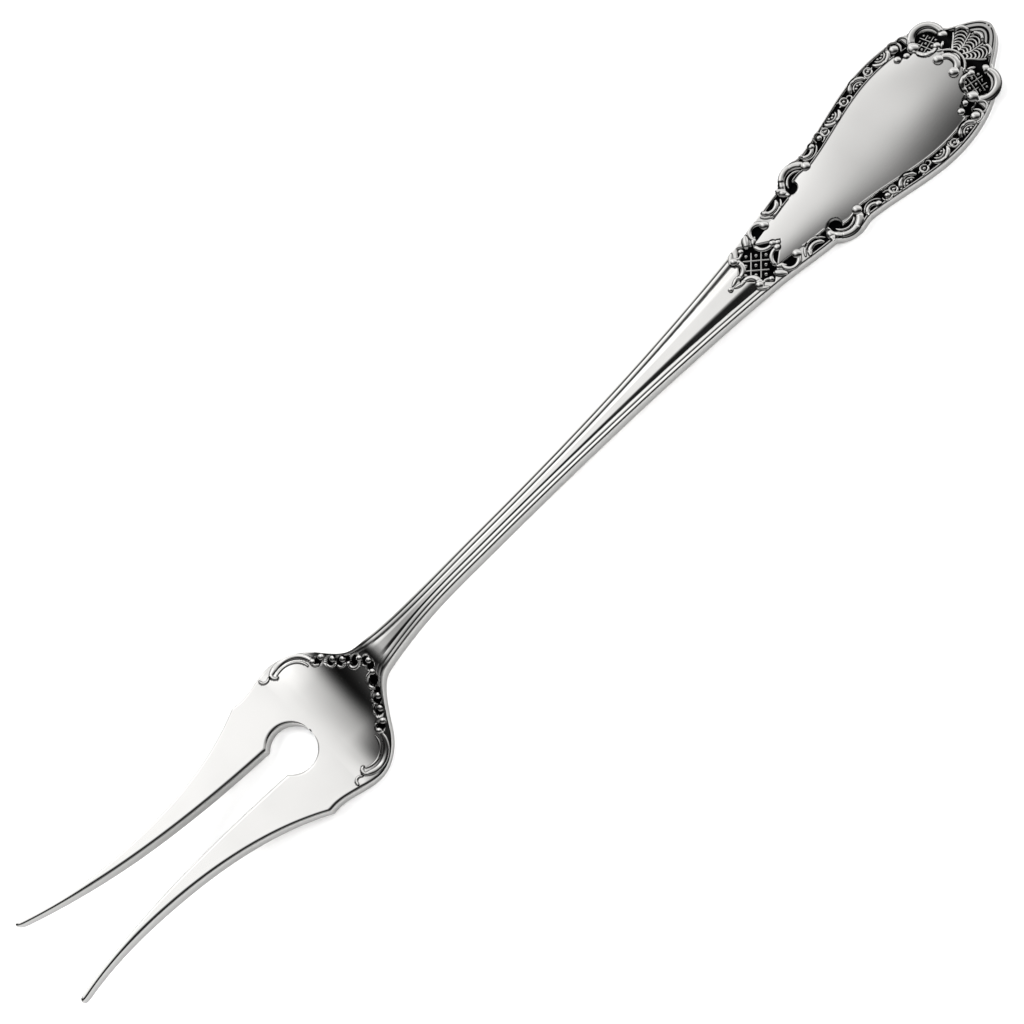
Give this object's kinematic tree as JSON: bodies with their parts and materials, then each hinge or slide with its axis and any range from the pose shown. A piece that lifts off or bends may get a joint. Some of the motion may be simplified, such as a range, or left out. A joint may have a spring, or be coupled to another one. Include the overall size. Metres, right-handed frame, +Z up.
{
  "type": "serving fork",
  "caption": "Two-tined meat serving fork, one pressed piece, with a round eye between the tines, a threaded shaft and a scroll-bordered medallion handle.",
  "frame": {"origin": "on the table plane that the fork lies on, under the middle of its overall box", "axes": "+X along the fork from the tines to the end of the handle, +Y across it, +Z up out of the front face"},
  "size_m": [0.204, 0.0264, 0.0136],
  "materials": {
    "polished_silver": "polished silver, darkened in the hollows of the ornament"
  },
  "bodies": {
    "root": {"serving_fork": "polished_silver"}
  },
  "joints": []
}
